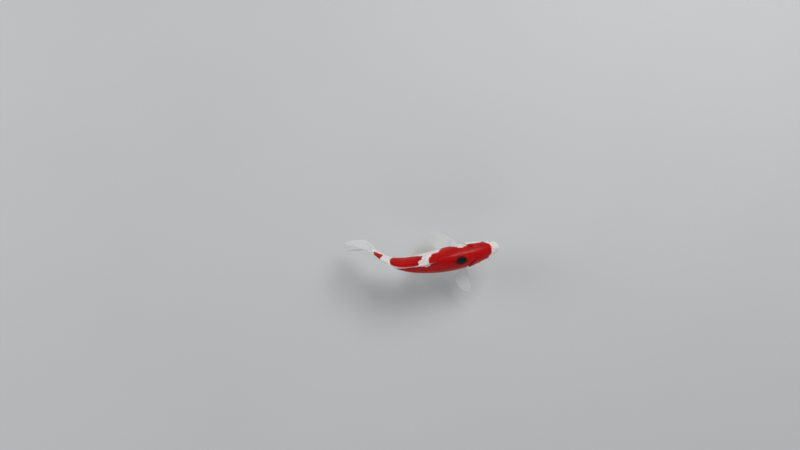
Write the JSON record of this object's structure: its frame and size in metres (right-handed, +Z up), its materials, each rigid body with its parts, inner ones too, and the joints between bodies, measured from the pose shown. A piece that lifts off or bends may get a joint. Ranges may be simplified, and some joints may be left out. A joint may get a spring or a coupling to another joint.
{
  "type": "koi carp",
  "caption": "Life-size koi carp in mid turn, red and white with a black shoulder spot, held level over a plain flat base by slim rods.",
  "frame": {"origin": "under the middle of the whole model's box, on the plane that the stand rests on", "axes": "+Z up, the fish faces -Y, its left side faces +X"},
  "size_m": [0.1494, 0.3594, 0.1833],
  "materials": {
    "red_skin": "wet scaled skin, deep red",
    "white_skin": "wet scaled skin, pearl white",
    "fin": "thin rayed membrane, clear whitish",
    "eye": "glossy, dark pupil in a pale ring",
    "base": "pale close-grained wood, satin varnish",
    "rod": "satin steel"
  },
  "bodies": {
    "root": {"head": "red_skin", "lower_jaw": "white_skin", "gill_cover_left": "red_skin", "gill_cover_right": "red_skin", "eye_left": "eye", "eye_right": "eye", "barbel_front_left": "white_skin", "barbel_front_right": "white_skin", "barbel_rear_left": "white_skin", "barbel_rear_right": "white_skin", "trunk_front": "red_skin", "trunk_middle": "white_skin", "trunk_rear": "red_skin", "tail_stalk": "white_skin", "dorsal_fin": "fin", "anal_fin": "fin", "tail_fin_upper": "fin", "tail_fin_lower": "fin", "pectoral_fin_left": "fin", "pectoral_fin_right": "fin", "pelvic_fin_left": "fin", "pelvic_fin_right": "fin", "stand_base": "base", "stand_rod_front": "rod", "stand_rod_rear": "rod"}
  },
  "joints": []
}
